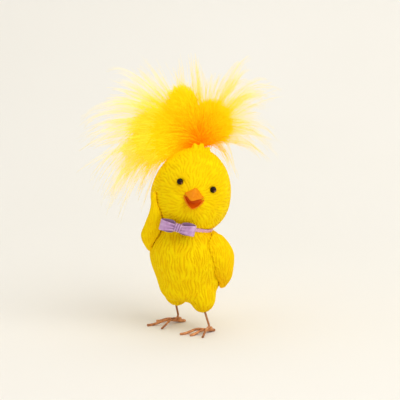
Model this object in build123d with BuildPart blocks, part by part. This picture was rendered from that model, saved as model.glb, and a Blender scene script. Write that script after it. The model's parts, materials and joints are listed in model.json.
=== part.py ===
"""Standing chick ornament: painted resin castings on wire legs, with a ribbon bow and a feather topknot.

Millimetres. +Z is up and the ground is Z = 0. The origin lies on the ground midway between the ankles.
The chest faces -Y, so +X is the chick's own left. The head is turned to the left and leans to that side.
"""

import os
from math import cos, radians, sin

from build123d import *

os.makedirs("parts", exist_ok=True)

# ---------------------------------------------------------------- driving dimensions
HEAD_CENTRE = Vector(-0.4, -1.2, 59.2)
HEAD_LEAN = 14.5  # degrees from upright
LEAN_HEADING = 22.0  # degrees from +X towards +Y, the way the head leans
FACE_TURN = 25.5  # degrees from the chest's heading towards the chick's left
BOW_TURN = 13.5
FIT = 0.05  # radial clearance of what is glued or slides in a hole
GLUE_LINE = 0.02

SIDES = ("right", "left")
STANDING = (Align.CENTER, Align.CENTER, Align.MIN)  # on its plane
HANGING = (Align.CENTER, Align.CENTER, Align.MAX)  # below its plane

NECK_TOP = -13.4  # heights along the head's axis, from the head's centre
NECK_FOOT = -15.2
NECK_R = 12.2
SPIGOT_R = 5.0
SPIGOT_LENGTH = 6.0
CROWN_Z = 18.0
HEAD_R = 16.8  # at its widest, which is HEAD_WIDEST along the axis
HEAD_WIDEST = -3.0
JOWL_DEPTH = 15.7  # half height of the ellipse below the widest place
JOWL_END = -41  # degrees round that ellipse at which the neck begins

TORSO_AXIS = (-2.3, -2.0)
TORSO_RADII = [(50.0, 11.0), (44.0, 11.9), (37.5, 15.0), (31.0, 15.9), (20.5, 12.7)]  # height, radius
TORSO_BOTTOM = 12.0
HIPS = [  # right thigh, left thigh and the hip over it: centre, then half sizes along X, Y and Z
    (Vector(-7.3, -1.4, 15.8), (5.6, 6.6, 7.1)),
    (Vector(5.5, -3.6, 14.7), (5.5, 6.2, 7.4)),
    (Vector(5.3, -0.6, 22.0), (6.7, 7.2, 7.5)),
]

EYE_R = 1.3
EYE_PIN_R = 0.4
EYE_SPREAD = 26.2  # degrees to each side of the face's middle
EYE_HEIGHT = 4.3
EYE_DEPTH = 15.85  # of the eyes' centres from the head's axis
EYE_PIN_LENGTH = 4.4

BEAK_ROOT = (0, -15.9, -0.9)  # in the head's frame
UPPER_PITCH = 8.0  # degrees that the upper beak points down
GAPE = 34.0  # degrees that the lower beak points down
# Ellipses of each shape: distance out along the beak, offset across it, half width, half height
UPPER_BEAK = [
    (-3.5, 0.2, 4.7, 3.6),
    (-0.2, 0.1, 4.4, 3.4),
    (2.3, 0, 3.1, 2.6),
    (4.3, -0.2, 1.6, 1.5),
    (5.5, -0.5, 0.4, 0.5),
]
LOWER_BEAK = [
    (-3.0, 0, 4.2, 2.9),
    (0.5, 0, 4.1, 2.6),
    (2.7, 0, 3.2, 2.1),
    (4.4, 0, 1.8, 1.3),
    (5.2, 0, 0.6, 0.5),
]
MOUTH = [(0.9, 0, 3.2, 1.6), (2.0, 0, 2.8, 1.5), (3.2, 0, 2.0, 1.1), (4.2, 0, 1.0, 0.6), (4.6, 0, 0.4, 0.3)]
THROAT = [(-3.0, -0.3, 4.2, 2.4), (0.6, -0.3, 3.9, 2.0)]

SHANK_WIRE_R = 0.45
TOE_WIRE_R = 0.55
TOE_FLAT = 0.1  # how deep the undersides of the toes are dressed flat
SOCKET_DEPTH = 9.0

RIBBON_THICK = 0.45
RIBBON_WIDTH = 1.5
BOW_REACH = 7.8  # from the knot's middle to a loop's end
BOW_END_HEIGHT = 5.3
BOW_WAIST_HEIGHT = 3.2
BOW_BACK = 15.1  # distance of the bow's back from the neck's axis
BOW_FRONT = 17.6
BOW_SWEEP = 13.0  # degrees that each loop leans back round the neck
BOW_LEVEL = 0.5  # the right loop's end sags this far and the left one's rises, so the bow hangs level
BOW_CLOTH = 0.4
KNOT_WIDTH = 3.2
KNOT_ROUNDING = 0.9

BINDING_R = 1.9
BUNDLE_R = 1.7
BINDING_DEPTH = 5.0
BINDING_PROUD = 1.6

# Points of the crest: x, y, height over the crown, splay in degrees
CREST = [(-2.7, -1.2, 1.9, -18), (-0.6, -1.6, 2.6, -6), (1.5, -1.2, 1.9, 10)]
CREST_SUNK = 2.6
CREST_ROOT_R = 2.3
CREST_TIP_R = 0.7


# ---------------------------------------------------------------- shared frames
def heading(degrees):
    """Level unit vector: 0 is the chest's heading, -Y, and positive turns to the chick's left."""
    return Vector(sin(radians(degrees)), -cos(radians(degrees)), 0)


def plane_along(origin, z_dir, x_hint):
    """Plane with that normal whose X is as near to x_hint as it can be."""
    z_dir = z_dir.normalized()
    return Plane(origin=origin, x_dir=x_hint - z_dir * x_hint.dot(z_dir), z_dir=z_dir)


lean_side = heading(90 + LEAN_HEADING)
HEAD_AXIS = Vector(0, 0, 1) * cos(radians(HEAD_LEAN)) + lean_side * sin(radians(HEAD_LEAN))
# X of the head's plane is its own left, Z its crown, and -Y its face
head_plane = plane_along(HEAD_CENTRE, HEAD_AXIS, heading(90 + FACE_TURN))
bow_plane = plane_along(HEAD_CENTRE, HEAD_AXIS, heading(90 + BOW_TURN))
head_axis = Axis(HEAD_CENTRE, HEAD_AXIS)
head_section = Plane(origin=HEAD_CENTRE, x_dir=head_plane.x_dir, z_dir=-head_plane.y_dir)


def on_head(x, y, z):
    return head_plane.from_local_coords(Vector(x, y, z))


def station_loft(stations):
    """Solid through ellipses, each given as (plane, half width, half depth)."""
    with BuildPart() as solid:
        for plane, half_x, half_y in stations:
            with BuildSketch(plane):
                Ellipse(half_x, half_y)
        loft()
    return solid.part


def ellipsoid(centre, half_x, half_y, half_z):
    with BuildPart() as solid:
        Sphere(1)
        scale(by=(half_x, half_y, half_z))
    return solid.part.moved(Location(centre))


# ---------------------------------------------------------------- feet and legs
# Each foot: its ankle on the ground plan, its heading to the chick's right, the thigh's lower end, and each
# toe's length and splay from that heading to the chick's right. Outer and inner toes are one bent wire.
FEET = {
    "right": {
        "ankle": (-8.7, 3.7),
        "turn": 37.0,
        "thigh_end": Vector(-8.9, 1.0, 8.9),
        "heel": 2.8,
        "outer": (9.5, 30.0),
        "inner": (15.0, 7.0),
        "shank": (13.7, -28.0),
    },
    "left": {
        "ankle": (9.5, -6.0),
        "turn": 19.5,
        "thigh_end": Vector(7.2, -5.0, 7.5),
        "heel": 2.6,
        "outer": (13.0, 24.0),
        "inner": (10.6, 12.0),
        "shank": (9.9, -24.0),
    },
}
ANKLE_HEIGHT = 0.85  # of the hairpin
SHANK_RISE = 1.1  # of the leg's wire above it
PAIR_HALF_GAP = TOE_WIRE_R + 0.06
ARCH_SHARE = 0.42  # of a toe's length from the ankle to the top of its arch
ARCH_RISE = 1.1
TOE_BENDS = (8.0, 8.0, 1.4)  # radii at the knuckle, over the arch and at the ankle
HEEL_BEND = 0.99 * PAIR_HALF_GAP
LEG_BEND = 1.2  # radius where the leg turns into its toe
SOLDER_R = 1.25
SOLDER_HEIGHT = 1.9


def foot_plane(foot):
    """X is to the foot's right, Y the way its toes point, and Z up from the ground."""
    forward = heading(-foot["turn"])
    return Plane(origin=(*foot["ankle"], 0), x_dir=(forward.Y, -forward.X, 0), z_dir=(0, 0, 1))


def toe_points(toe, side, height, wire_r):
    """From the ankle over the arch to the tip, in the foot's own frame."""
    length, splay = toe
    reach = Vector(sin(radians(splay)), cos(radians(splay)), 0) * length
    ankle = Vector(side, 0, height)
    arch = Vector(side, 0, height + ARCH_RISE) + reach * ARCH_SHARE
    knuckle = Vector(side, 0, 0.6 * height) + reach * 0.8
    tip = Vector(side, 0, wire_r - TOE_FLAT) + reach
    return [ankle, arch, knuckle, tip]


def wire(points, radii, wire_r):
    """Round wire along straight runs joined by arcs, with everything below the ground dressed off."""
    with BuildPart() as rod:
        with BuildLine() as route:
            FilletPolyline(*points, radius=radii)
        with BuildSketch(Plane(origin=route.line @ 0, z_dir=route.line % 0)):
            Circle(wire_r)
        sweep()
        with Locations((points[0].X, points[0].Y, -5)):
            Box(90, 90, 10, mode=Mode.SUBTRACT)
    return rod


legs, foot_wires, solders, sockets = {}, {}, {}, {}
for side, foot in FEET.items():
    frame = foot_plane(foot)
    outer = toe_points(foot["outer"], PAIR_HALF_GAP, ANKLE_HEIGHT, TOE_WIRE_R)
    inner = toe_points(foot["inner"], -PAIR_HALF_GAP, ANKLE_HEIGHT, TOE_WIRE_R)
    heel_z = TOE_WIRE_R - TOE_FLAT
    heel = [Vector(x, -foot["heel"], heel_z) for x in (PAIR_HALF_GAP, -PAIR_HALF_GAP)]
    hairpin = outer[::-1] + heel + inner
    radii = [*TOE_BENDS, HEEL_BEND, HEEL_BEND, *TOE_BENDS[::-1]]
    foot_wires[side] = wire([frame.from_local_coords(p) for p in hairpin], radii, TOE_WIRE_R)

    shank_toe = toe_points(foot["shank"], 0, ANKLE_HEIGHT + SHANK_RISE, SHANK_WIRE_R)
    shank = [frame.from_local_coords(p) for p in shank_toe]
    climb = (foot["thigh_end"] - shank[0]).normalized()
    socket_end = foot["thigh_end"] + climb * SOCKET_DEPTH
    legs[side] = wire([socket_end] + shank, [LEG_BEND, *TOE_BENDS[:2]], SHANK_WIRE_R)
    sockets[side] = plane_along(socket_end, -climb, Vector(1, 0, 0))

    with BuildPart() as solders[side]:
        with Locations((*foot["ankle"], ANKLE_HEIGHT - 0.4)):
            Cylinder(SOLDER_R, SOLDER_HEIGHT, align=STANDING)
        fillet(solders[side].edges(), 0.5)
        add(foot_wires[side].part, mode=Mode.SUBTRACT)
        add(legs[side].part, mode=Mode.SUBTRACT)

# ---------------------------------------------------------------- wings, as shapes before they are seated
# Stations from the elbow up to the hand: centre, half width across the arm, half depth, heading of width.
RAISED_WING = [
    (Vector(-15.6, -11.3, 34.6), 0.9, 0.8),
    (Vector(-15.7, -11.7, 36.3), 1.9, 1.6),
    (Vector(-15.4, -12.6, 38.8), 2.9, 2.3),
    (Vector(-14.3, -13.6, 42.0), 3.8, 2.6),
    (Vector(-12.8, -14.5, 44.8), 3.8, 2.4),
    (Vector(-11.6, -15.4, 47.9), 3.4, 2.2),
    (Vector(-10.9, -16.0, 50.5), 2.8, 2.1),
    (Vector(-10.8, -16.1, 53.4), 2.0, 1.9),
    (Vector(-11.3, -15.8, 56.3), 1.4, 1.5),
    (Vector(-11.5, -15.0, 60.0), 0.6, 0.7),
]
RAISED_TURN = 22.0
raised_shape = station_loft(
    [(Plane(origin=c, x_dir=heading(90 + RAISED_TURN), z_dir=(0, 0, 1)), w, d) for c, w, d in RAISED_WING]
)
# The same for the folded wing, from the shoulder down to the hand on the hip.
FOLDED_WING = [
    (Vector(10.6, -3.4, 41.4), 1.4, 1.2),
    (Vector(11.2, -3.4, 39.8), 4.6, 2.2),
    (Vector(11.8, -3.3, 36.7), 7.0, 3.2),
    (Vector(13.3, -2.3, 32.3), 7.0, 3.5),
    (Vector(13.8, -1.2, 27.8), 5.6, 3.2),
    (Vector(13.9, 0.2, 23.3), 3.9, 2.5),
    (Vector(13.3, 1.0, 20.1), 2.3, 1.7),
    (Vector(12.7, 1.3, 17.9), 0.9, 0.8),
]
FOLDED_TURN = 160.0
folded_shape = station_loft(
    [(Plane(origin=c, x_dir=heading(FOLDED_TURN), z_dir=(0, 0, 1)), w, d) for c, w, d in FOLDED_WING]
)
PEG_R = 1.2
PEG_LENGTH = 8.0


def peg_plane(outer_point):
    """Plane at the outer end of a wing's peg, which points level at the torso's axis."""
    inward = Vector(TORSO_AXIS[0] - outer_point.X, TORSO_AXIS[1] - outer_point.Y, 0).normalized()
    return Plane(origin=outer_point, z_dir=inward)


raised_peg = peg_plane(Vector(-15.0, -10.6, 38.5))
folded_peg = peg_plane(Vector(15.2, -2.2, 32.0))

# ---------------------------------------------------------------- torso casting
with BuildPart() as torso_blank:
    with BuildSketch(Plane.XZ.offset(-TORSO_AXIS[1])):
        with BuildLine():
            belly_points = [(TORSO_AXIS[0] + radius, z) for z, radius in TORSO_RADII]
            belly = Spline(*belly_points, (TORSO_AXIS[0], TORSO_BOTTOM), tangents=((0.2, -0.98), (-1, 0)))
            Polyline(belly @ 1, (TORSO_AXIS[0], TORSO_RADII[0][0]), belly @ 0)
        make_face()
    revolve(axis=Axis((*TORSO_AXIS, 0), (0, 0, 1)))
    for centre, half_sizes in HIPS:
        add(ellipsoid(centre, *half_sizes))
    split(bisect_by=head_plane.offset(NECK_FOOT), keep=Keep.BOTTOM)
    with Locations(head_plane.offset(NECK_FOOT).location):
        Cylinder(NECK_R, NECK_TOP - NECK_FOOT, align=STANDING)

# ---------------------------------------------------------------- beak and eyes, before they are seated
def beak_plane(pitch, along=0.0, across=0.0):
    """Plane square to a direction that points out of the face and down by pitch degrees."""
    out = (-head_plane.y_dir) * cos(radians(pitch)) - HEAD_AXIS * sin(radians(pitch))
    root = plane_along(on_head(*BEAK_ROOT), out, head_plane.x_dir)
    return Plane(origin=root.from_local_coords(Vector(0, across, along)), x_dir=root.x_dir, z_dir=out)


def beak_shape(pitch, sections):
    return station_loft([(beak_plane(pitch, along, across), w, h) for along, across, w, h in sections])


upper_shape = beak_shape(UPPER_PITCH, UPPER_BEAK)
lower_shape = beak_shape(GAPE, LOWER_BEAK)
mouth_shape = beak_shape(GAPE, MOUTH)
throat_shape = beak_shape((UPPER_PITCH + GAPE) / 2, THROAT)


def eye_plane(side):
    """At the eye's centre, with Z into the head along the eye's pin."""
    spread = radians(EYE_SPREAD if side == "left" else -EYE_SPREAD)
    centre = on_head(EYE_DEPTH * sin(spread), -EYE_DEPTH * cos(spread), EYE_HEIGHT)
    return plane_along(centre, on_head(0, 0, EYE_HEIGHT) - centre, HEAD_AXIS)

# ---------------------------------------------------------------- topknot root
root_point = on_head(-0.5, 4.6, 16.4)
ROOT_DIRECTION = (HEAD_AXIS + head_plane.y_dir * 0.28).normalized()
root_plane = plane_along(root_point, ROOT_DIRECTION, head_plane.x_dir)

# ---------------------------------------------------------------- head casting
def on_skull(angle):
    """Point on the head's outline, that many degrees round from its widest place."""
    half_height = CROWN_Z - HEAD_WIDEST if angle > 0 else JOWL_DEPTH
    return (HEAD_R * cos(radians(angle)), HEAD_WIDEST + half_height * sin(radians(angle)))


with BuildPart() as head_casting:
    with BuildSketch(head_section):
        with BuildLine():
            side_points = [on_skull(angle) for angle in range(JOWL_END, 90, 13)]
            skull = Spline(*side_points, (0, CROWN_Z), tangents=((0.7, 0.7), (-1, 0)))
            Polyline(skull @ 1, (0, NECK_TOP), skull @ 0)
        make_face()
    revolve(axis=head_axis)
    for x, y, height, splay in CREST:
        base = Plane(origin=on_head(x, y, CROWN_Z - CREST_SUNK), x_dir=head_plane.x_dir, z_dir=HEAD_AXIS)
        with Locations(base.rotated((0, splay, 0)).location):
            Cone(CREST_ROOT_R, CREST_TIP_R, height + CREST_SUNK, align=STANDING)
    with Locations(head_plane.offset(NECK_TOP + 1).location):
        Cylinder(SPIGOT_R, SPIGOT_LENGTH + 1, align=HANGING)
    with Locations(root_plane.offset(-BINDING_DEPTH).location):
        Cylinder(BINDING_R + FIT, 3 * BINDING_DEPTH, align=STANDING, mode=Mode.SUBTRACT)
    for side in SIDES:
        with Locations(eye_plane(side).location):
            Sphere(EYE_R + GLUE_LINE, mode=Mode.SUBTRACT)
            Cylinder(EYE_PIN_R + FIT, EYE_PIN_LENGTH + 0.2, align=STANDING, mode=Mode.SUBTRACT)


def seated(shape, *seats):
    """The shape with what it sits on cut away from it, so that the two meet face to face."""
    with BuildPart() as piece:
        add(shape)
        for seat in seats:
            add(seat, mode=Mode.SUBTRACT)
    return piece.part.solids().sort_by(SortBy.VOLUME)[-1]


with BuildPart() as upper_beak:
    add(upper_shape)
    split(bisect_by=beak_plane(UPPER_PITCH).rotated((90, 0, 0)), keep=Keep.BOTTOM)
    add(head_casting.part, mode=Mode.SUBTRACT)

with BuildPart() as lower_jaw:
    add(lower_shape)
    split(bisect_by=beak_plane(GAPE).rotated((90, 0, 0)), keep=Keep.TOP)
    add(throat_shape)

with BuildPart() as lower_beak:
    add(seated(lower_jaw.part, mouth_shape, upper_shape, head_casting.part))

eyes = {}
for side in SIDES:
    with BuildPart() as eyes[side]:
        with Locations(eye_plane(side).location):
            Sphere(EYE_R)
            Cylinder(EYE_PIN_R, EYE_PIN_LENGTH, align=STANDING)

# ---------------------------------------------------------------- wings, seated
with BuildPart() as ribbon_path:
    with Locations(head_plane.offset(NECK_TOP).location):
        Cylinder(NECK_R + FIT + RIBBON_THICK + 0.3, NECK_TOP - NECK_FOOT, align=HANGING)

with BuildPart() as raised_wing:
    add(seated(raised_shape, torso_blank.part, head_casting.part, ribbon_path.part))
    with Locations(raised_peg.location):
        Cylinder(PEG_R, PEG_LENGTH, align=STANDING)

with BuildPart() as folded_wing:
    add(seated(folded_shape, torso_blank.part))
    with Locations(folded_peg.location):
        Cylinder(PEG_R, PEG_LENGTH, align=STANDING)

# ---------------------------------------------------------------- torso casting, with its drilled seats
with BuildPart() as torso_casting:
    add(torso_blank.part)
    with Locations(head_plane.offset(NECK_TOP).location):
        Hole(SPIGOT_R + FIT, depth=SPIGOT_LENGTH + 0.5)
    for side in FEET:
        with Locations(sockets[side].location):
            Cylinder(SHANK_WIRE_R + FIT, 2 * SOCKET_DEPTH, align=STANDING, mode=Mode.SUBTRACT)
    for peg in (raised_peg, folded_peg):
        with Locations(peg.location):
            Cylinder(PEG_R + FIT, PEG_LENGTH + 0.3, align=STANDING, mode=Mode.SUBTRACT)

# ---------------------------------------------------------------- ribbon and bow
RIBBON_Z = (NECK_TOP + NECK_FOOT) / 2
ribbon_middle = bow_plane.offset(RIBBON_Z)
bow_front = Plane(origin=ribbon_middle.origin, x_dir=ribbon_middle.x_dir, z_dir=-ribbon_middle.y_dir)
bow_side = Plane(origin=ribbon_middle.origin, x_dir=-ribbon_middle.y_dir, z_dir=ribbon_middle.x_dir)
with BuildPart() as neck_ribbon:
    with BuildSketch(ribbon_middle):
        Circle(NECK_R + FIT + RIBBON_THICK)
        Circle(NECK_R + FIT, mode=Mode.SUBTRACT)
    extrude(amount=RIBBON_WIDTH / 2, both=True)


def loop_outline(inset):
    """Plan of both loops of the bow: two leaves that meet at the waist and lean back round the neck."""
    middle = (BOW_BACK + BOW_FRONT) / 2
    half = (BOW_FRONT - BOW_BACK) / 2 - inset
    with BuildSketch() as outline:
        for sign in (-1, 1):
            lean = Plane(origin=(0, -middle, 0), z_dir=(0, 0, 1)).rotated((0, 0, sign * BOW_SWEEP))
            front, back, end = [
                lean.from_local_coords(Vector(sign * x, y, 0))
                for x, y in ((BOW_REACH * 0.6, -half), (BOW_REACH * 0.6, half), (BOW_REACH - inset, 0))
            ]
            waist_front = Vector(sign * 0.6, -middle - 0.3 * half)
            waist_back = Vector(sign * 0.6, -middle + 0.3 * half)
            outward = lean.x_dir * sign
            across = lean.y_dir
            with BuildLine():
                Spline(waist_back, back, end, tangents=(outward + across * 0.3, -across))
                Spline(end, front, waist_front, tangents=(-across, across * 0.3 - outward))
                Line(waist_front, waist_back)
            make_face()
    return outline.sketch


with BuildPart() as bow_loops:
    with BuildSketch(ribbon_middle):
        add(loop_outline(0))
        with Locations((0, -(BOW_BACK + BOW_FRONT) / 2)):
            Rectangle(2.0, 1.0)
    extrude(amount=BOW_END_HEIGHT, both=True)
    with BuildSketch(ribbon_middle):
        add(loop_outline(BOW_CLOTH))
    extrude(amount=BOW_END_HEIGHT, both=True, mode=Mode.SUBTRACT)
    # seen from the front the loops widen from the waist to their ends
    with BuildSketch(bow_front):
        right_end = Vector(-BOW_REACH, -BOW_LEVEL)
        left_end = Vector(BOW_REACH, BOW_LEVEL)
        end_up = Vector(0, BOW_END_HEIGHT / 2)
        waist_up = Vector(0, BOW_WAIST_HEIGHT / 2)
        with BuildLine():
            Polyline(right_end + end_up, waist_up, left_end + end_up, left_end - end_up)
            Polyline(left_end - end_up, -waist_up, right_end - end_up, right_end + end_up)
        make_face()
    extrude(amount=30, mode=Mode.INTERSECT)

KNOT_ROOT = NECK_R + FIT + RIBBON_THICK + 0.05  # where the knot meets the ribbon
with BuildPart() as bow_knot:
    with BuildSketch(bow_side):
        with Locations(((BOW_BACK + BOW_FRONT - 0.2) / 2, 0)):
            RectangleRounded(BOW_FRONT - BOW_BACK + 0.6, BOW_WAIST_HEIGHT + 1.0, KNOT_ROUNDING)
        with Locations(((KNOT_ROOT + BOW_BACK + 0.5) / 2, 0)):
            Rectangle(BOW_BACK + 0.5 - KNOT_ROOT, RIBBON_WIDTH)
    extrude(amount=KNOT_WIDTH / 2, both=True)
    add(bow_loops.part, mode=Mode.SUBTRACT)

# ---------------------------------------------------------------- topknot
pivot = root_point + ROOT_DIRECTION * BINDING_PROUD
with BuildPart() as tuft_binding:
    with Locations(root_plane.offset(-BINDING_DEPTH).location):
        Cylinder(BINDING_R, BINDING_DEPTH + BINDING_PROUD, align=STANDING)
    rims = tuft_binding.edges().filter_by(GeomType.CIRCLE).sort_by(Axis(root_point, ROOT_DIRECTION))
    fillet(rims[-1], 0.2)
    with Locations(pivot):
        Sphere(BUNDLE_R + FIT, mode=Mode.SUBTRACT)

with BuildPart() as quill_bundle:
    with Locations(pivot):
        Sphere(BUNDLE_R)

tuft_right = heading(90 + LEAN_HEADING)
tuft_away = heading(180 + LEAN_HEADING)


def plume(spine, sections):
    """Feather plume out of the bundle, along points (right, away, up) from the pivot, facing the chick."""
    points = [pivot + tuft_right * x + tuft_away * y + Vector(0, 0, z) for x, y, z in spine]
    start = (points[0] - pivot).normalized() * (BUNDLE_R - 0.3)
    with BuildLine() as path:
        Spline(pivot + start, *points)
    last = len(sections) - 1
    with BuildPart() as solid:
        for i, (depth, height) in enumerate(sections):
            with BuildSketch(plane_along(path.line @ (i / last), path.line % (i / last), tuft_away)):
                Ellipse(depth, height)
        loft()
        add(quill_bundle.part, mode=Mode.SUBTRACT)
    return solid


BROAD = [(0.42, 0.42), (1.9, 2.4), (2.6, 5.0), (2.6, 6.4), (2.2, 5.0), (0.7, 1.2)]
NARROW = [(0.42, 0.42), (1.6, 1.8), (2.2, 3.6), (2.3, 4.4), (1.9, 3.4), (0.7, 1.0)]
# Each plume's points beyond its root, and its sections from root to tip: half depth and half height
PLUMES = {
    "left_plume": ([(-2.5, 0.1, 3.0), (-10.4, 1, 11.8), (-23.4, 1, 11.5), (-38.5, 0, 4.0)], BROAD),
    "lower_left_plume": ([(-3.3, -2.4, 2.9), (-12, -6, 4), (-23.2, -6, -2.5), (-35, -5, -15.5)], NARROW),
    "upper_left_plume": ([(-1.3, 1.9, 3.8), (-8.8, 6, 16.5), (-20.7, 7, 27.0), (-31.6, 7, 33.5)], NARROW),
    "top_plume": ([(0.3, -0.6, 4.2), (-0.5, -2, 16.0), (-1.6, -3, 28.0), (-3.3, -2, 41.0)], NARROW),
    "upper_right_plume": ([(1.8, 1.4, 3.8), (8.9, 4, 16.3), (14.8, 5, 24.5), (21.6, 5, 32.5)], NARROW),
    "right_plume": ([(3.4, -0.4, 2.6), (11.3, -2, 9.5), (20.5, -3, 11.0), (29.0, -4, 6.5)], NARROW),
    "back_plume": ([(0.8, 4.0, 1.6), (1.5, 10, 7.0), (3.0, 16, 9.5), (5.0, 24, 6.0)], BROAD),
}
plumes = {name: plume(spine, sections) for name, (spine, sections) in PLUMES.items()}

# ---------------------------------------------------------------- write one STEP per piece
pieces = {
    "torso_casting": torso_casting,
    "head_casting": head_casting,
    "raised_wing": raised_wing,
    "folded_wing": folded_wing,
    "upper_beak": upper_beak,
    "lower_beak": lower_beak,
    "neck_ribbon": neck_ribbon,
    "bow_loops": bow_loops,
    "bow_knot": bow_knot,
    "tuft_binding": tuft_binding,
    "quill_bundle": quill_bundle,
    **plumes,
}
for side in SIDES:
    pieces[f"{side}_eye"] = eyes[side]
    pieces[f"{side}_leg_wire"] = legs[side]
    pieces[f"{side}_foot_wire"] = foot_wires[side]
    pieces[f"{side}_ankle_solder"] = solders[side]

for name, piece in pieces.items():
    piece.part.label = name
    export_step(piece.part, f"parts/{name}.step")
    print(name, round(piece.part.volume, 1))
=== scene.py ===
"""Looks of a hand-painted resin chick: combed castings, wire feet, a ribbon bow and a marabou topknot.

The frame is in metres. Shapes that are worked out here are made in millimetres and scaled when they are done.
"""

import itertools
import json
import math

import bmesh
import bpy
import numpy as np
from mathutils import Matrix, Vector, noise
from mathutils.bvhtree import BVHTree
from mathutils.kdtree import KDTree


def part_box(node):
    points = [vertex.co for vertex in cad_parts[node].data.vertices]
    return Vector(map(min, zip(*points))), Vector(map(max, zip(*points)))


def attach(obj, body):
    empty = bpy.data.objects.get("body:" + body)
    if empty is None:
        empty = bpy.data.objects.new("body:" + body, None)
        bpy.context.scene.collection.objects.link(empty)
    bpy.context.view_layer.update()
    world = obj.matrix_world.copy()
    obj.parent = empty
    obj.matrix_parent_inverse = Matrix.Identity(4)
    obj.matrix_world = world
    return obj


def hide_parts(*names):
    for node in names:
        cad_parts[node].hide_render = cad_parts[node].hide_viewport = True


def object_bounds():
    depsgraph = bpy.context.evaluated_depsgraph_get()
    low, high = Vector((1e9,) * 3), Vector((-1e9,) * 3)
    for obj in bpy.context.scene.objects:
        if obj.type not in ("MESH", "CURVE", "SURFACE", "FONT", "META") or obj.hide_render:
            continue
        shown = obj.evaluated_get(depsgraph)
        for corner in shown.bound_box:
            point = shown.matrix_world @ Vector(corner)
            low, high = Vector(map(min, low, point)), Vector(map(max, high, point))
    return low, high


MM = 0.001
SEED = 7

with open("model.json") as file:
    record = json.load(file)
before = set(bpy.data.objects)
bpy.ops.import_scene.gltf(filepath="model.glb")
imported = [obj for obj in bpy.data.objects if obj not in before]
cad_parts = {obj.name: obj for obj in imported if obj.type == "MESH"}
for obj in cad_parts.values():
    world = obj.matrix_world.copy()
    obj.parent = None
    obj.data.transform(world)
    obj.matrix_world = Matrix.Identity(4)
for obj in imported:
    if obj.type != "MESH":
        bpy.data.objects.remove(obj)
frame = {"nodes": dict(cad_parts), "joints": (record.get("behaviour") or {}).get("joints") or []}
cad_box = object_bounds()


# ---------------------------------------------------------------- places, worked out from the frame
NECK_TO_HEAD = 14.3  # mm along the head's axis from the ribbon to the head's centre
EYE_RADIUS = 1.3


def box_centre(node):
    """Middle of a CAD node's box, in mm."""
    low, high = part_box(node)
    return (np.array(low) + np.array(high)) / 2 / MM


def joint_named(name):
    return next(j for j in frame["joints"] if j["name"] == name)


def unit(v):
    """The same direction with a length of 1."""
    v = np.asarray(v, float)
    return v / np.linalg.norm(v)


collar_joint = joint_named("collar_turn")
tuft_joint = joint_named("tuft_sway")
neck_centre = np.array(collar_joint["pos_m"]) / MM
head_axis = unit(collar_joint["axis"])
head_centre = neck_centre + head_axis * NECK_TO_HEAD
right_eye_seat = box_centre("right_eye")
left_eye_seat = box_centre("left_eye")


def square_to_axis(v):
    """The part of a direction that is square to the head's axis, with a length of 1."""
    return unit(v - head_axis * np.dot(v, head_axis))


face_left = square_to_axis(left_eye_seat - right_eye_seat)
face_out = square_to_axis((left_eye_seat + right_eye_seat) / 2 - head_centre)


def bead_centre(node):
    """Middle of an eye's bead, behind the point that stands out furthest."""
    points = np.array([v.co for v in frame["nodes"][node].data.vertices]) / MM
    return points[np.argmax(points @ face_out)] - EYE_RADIUS * face_out


def painted_highlight_of(node):
    """Point on the front of an eye's bead, to the left of its middle and a little below it, where a highlight
    is painted.
    """
    return bead_centre(node) + EYE_RADIUS * unit(0.75 * face_out + 0.6 * face_left - 0.25 * head_axis)


beak_centre = (box_centre("upper_beak") + box_centre("lower_beak")) / 2
torso_centre = box_centre("torso_casting")
tuft_pivot = np.array(tuft_joint["pos_m"]) / MM
tuft_away = unit(tuft_joint["axis"])
up = np.array((0.0, 0.0, 1.0))
tuft_right = np.cross(tuft_away, up)


# ---------------------------------------------------------------- materials
def material(name, base, roughness, specular=0.5):
    """New material with a Principled node; returns the material, its node tree and that node."""
    mat = bpy.data.materials.new(name)
    mat.use_nodes = True
    shader = mat.node_tree.nodes["Principled BSDF"]
    shader.inputs["Base Color"].default_value = (*base, 1)
    shader.inputs["Roughness"].default_value = roughness
    shader.inputs["Specular IOR Level"].default_value = specular
    return mat, mat.node_tree, shader


def add_node(tree, kind, **inputs):
    """New node with its sockets set; an underscore in a keyword stands for a space in the socket's name."""
    node = tree.nodes.new(kind)
    for key, value in inputs.items():
        node.inputs[key.replace("_", " ")].default_value = value
    return node


def object_place(tree):
    """Socket with the object's own coordinates, which are metres."""
    return tree.nodes.new("ShaderNodeTexCoord").outputs["Object"]


def attribute(tree, name):
    """Socket with a number that the mesh holds for each of its points."""
    node = tree.nodes.new("ShaderNodeAttribute")
    node.attribute_name = name
    return node.outputs["Fac"]


def noise_value(tree, scale, detail, roughness=0.5, output="Fac"):
    """Socket with noise from 0 to 1 over the object's own coordinates: one value, or a Color of three."""
    texture = add_node(tree, "ShaderNodeTexNoise", Scale=scale, Detail=detail, Roughness=roughness)
    tree.links.new(object_place(tree), texture.inputs["Vector"])
    return texture.outputs[output]


def share_of_range(tree, source, low, high):
    """Socket that goes from 0 to 1 while the source goes from low to high."""
    node = add_node(tree, "ShaderNodeMapRange", From_Min=low, From_Max=high, To_Min=0.0, To_Max=1.0)
    tree.links.new(source, node.inputs["Value"])
    return node.outputs["Result"]


def ramp(tree, source, stops):
    """Colour socket of a ramp fed by a socket; stops are (place, colour)."""
    node = tree.nodes.new("ShaderNodeValToRGB")
    elements = node.color_ramp.elements
    while len(elements) < len(stops):
        elements.new(0.5)
    for element, (place, colour) in zip(elements, stops):
        element.position = place
        element.color = (*colour, 1)
    tree.links.new(source, node.inputs["Fac"])
    return node.outputs["Color"]


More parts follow.
